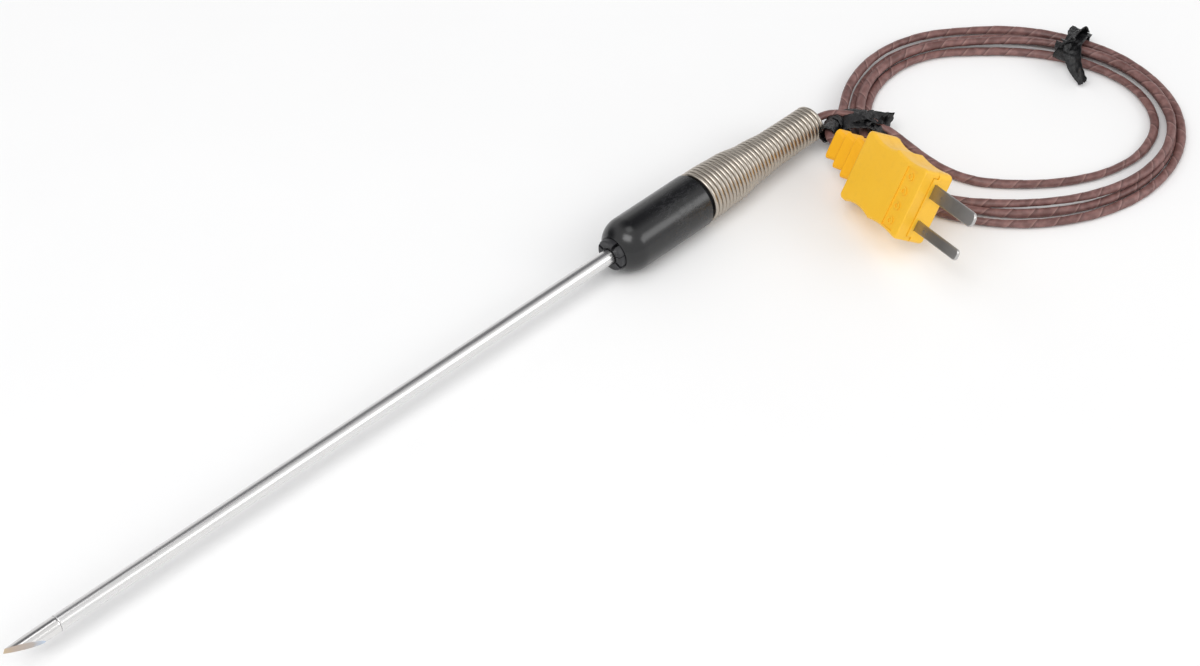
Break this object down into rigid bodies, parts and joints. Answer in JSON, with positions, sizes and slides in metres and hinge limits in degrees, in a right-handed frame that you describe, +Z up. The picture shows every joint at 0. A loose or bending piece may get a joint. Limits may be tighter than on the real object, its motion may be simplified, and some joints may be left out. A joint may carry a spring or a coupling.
{
  "type": "needle thermocouple",
  "caption": "Hand-held needle thermocouple: bevelled stainless needle in a black pot with a tapered spring strain relief, coiled tape-wrapped cable and two-blade miniature plug.",
  "frame": {"origin": "on the resting surface, under the middle of the probe's length (needle, pot and spring)", "axes": "+X along the probe from the needle's point to the spring's open end, +Z up"},
  "size_m": [0.2852, 0.0736, 0.0208],
  "materials": {
    "needle_steel": "drawn and polished stainless steel",
    "ground_steel": "ground stainless steel with a heat tint",
    "thermocouple_alloy": "drawn nickel alloy wire",
    "ceramic": "unglazed ceramic",
    "brass": "turned brass",
    "black_mould": "glossy black moulding",
    "black_bush": "black bush",
    "resin": "cured potting resin",
    "spring_wire": "nickel-plated spring wire",
    "cable_tape": "varnished tape wrap",
    "tie_plastic": "black plastic-covered wire tie",
    "plug_yellow": "yellow moulded nylon",
    "boot_rubber": "yellow rubber",
    "blade_metal": "blanked alloy strip, tumbled edges",
    "screw_plate": "plated steel screw"
  },
  "bodies": {
    "probe": {"needle_tip": "ground_steel", "needle_sheath": "needle_steel", "junction_bead": "thermocouple_alloy", "core_positive": "thermocouple_alloy", "core_negative": "thermocouple_alloy", "twin_bore_insulator": "ceramic", "splice_sleeve_positive": "brass", "splice_sleeve_negative": "brass", "lead_core_positive": "thermocouple_alloy", "lead_core_negative": "thermocouple_alloy", "anchor_collar": "brass", "nose_bush": "black_bush", "pot_shell": "black_mould", "potting_resin": "resin", "spring_boss": "black_bush", "strain_relief_spring": "spring_wire", "cable_in_spring": "cable_tape", "cable_lead": "cable_tape", "cable_coil": "cable_tape", "cable_tail": "cable_tape", "cable_in_boot": "cable_tape", "inner_tie": "tie_plastic", "outer_tie": "tie_plastic", "plug_base": "plug_yellow", "blade_wide": "blade_metal", "blade_narrow": "blade_metal", "plug_core_wide": "thermocouple_alloy", "plug_core_narrow": "thermocouple_alloy", "plug_boot": "boot_rubber"},
    "lid": {"plug_lid": "plug_yellow", "lid_insert": "brass"},
    "wide_clamp": {"clamp_washer_wide": "screw_plate"},
    "wide_screw": {"terminal_screw_wide": "screw_plate"},
    "narrow_clamp": {"clamp_washer_narrow": "screw_plate"},
    "narrow_screw": {"terminal_screw_narrow": "screw_plate"},
    "lid_washer": {"lid_screw_washer": "screw_plate"},
    "lid_fixing": {"lid_screw": "screw_plate"}
  },
  "joints": [
    {"name": "lid_lift", "type": "slide", "parent": "probe", "child": "lid", "axis": [-0.8008, 0.2809, 0.5289], "range_m": [0, 0.012]},
    {"name": "wide_clamp_lift", "type": "slide", "parent": "probe", "child": "wide_clamp", "axis": [-0.8008, 0.2809, 0.5289], "range_m": [0, 0.0009]},
    {"name": "wide_screw_turn", "type": "hinge", "parent": "wide_clamp", "child": "wide_screw", "pos_m": [0.10044, -0.03076, 0.01408], "axis": [-0.8008, 0.2809, 0.5289], "range_deg": [0, 722]},
    {"name": "narrow_clamp_lift", "type": "slide", "parent": "probe", "child": "narrow_clamp", "axis": [-0.8008, 0.2809, 0.5289], "range_m": [0, 0.0009]},
    {"name": "narrow_screw_turn", "type": "hinge", "parent": "narrow_clamp", "child": "narrow_screw", "pos_m": [0.09606, -0.03084, 0.00749], "axis": [-0.8008, 0.2809, 0.5289], "range_deg": [0, 722]},
    {"name": "lid_washer_drop", "type": "slide", "parent": "probe", "child": "lid_washer", "axis": [0.8008, -0.2809, -0.5289], "range_m": [0, 0.0045]},
    {"name": "lid_screw_turn", "type": "hinge", "parent": "lid_washer", "child": "lid_fixing", "pos_m": [0.09674, -0.03713, 0.01187], "axis": [0.8008, -0.2809, -0.5289], "range_deg": [0, 3604]}
  ],
  "couplings": [
    {"joint": "wide_screw_turn", "follows": "wide_clamp_lift", "rad_per_m": 13963},
    {"joint": "narrow_screw_turn", "follows": "narrow_clamp_lift", "rad_per_m": 13963},
    {"joint": "lid_screw_turn", "follows": "lid_washer_drop", "rad_per_m": 13963}
  ]
}
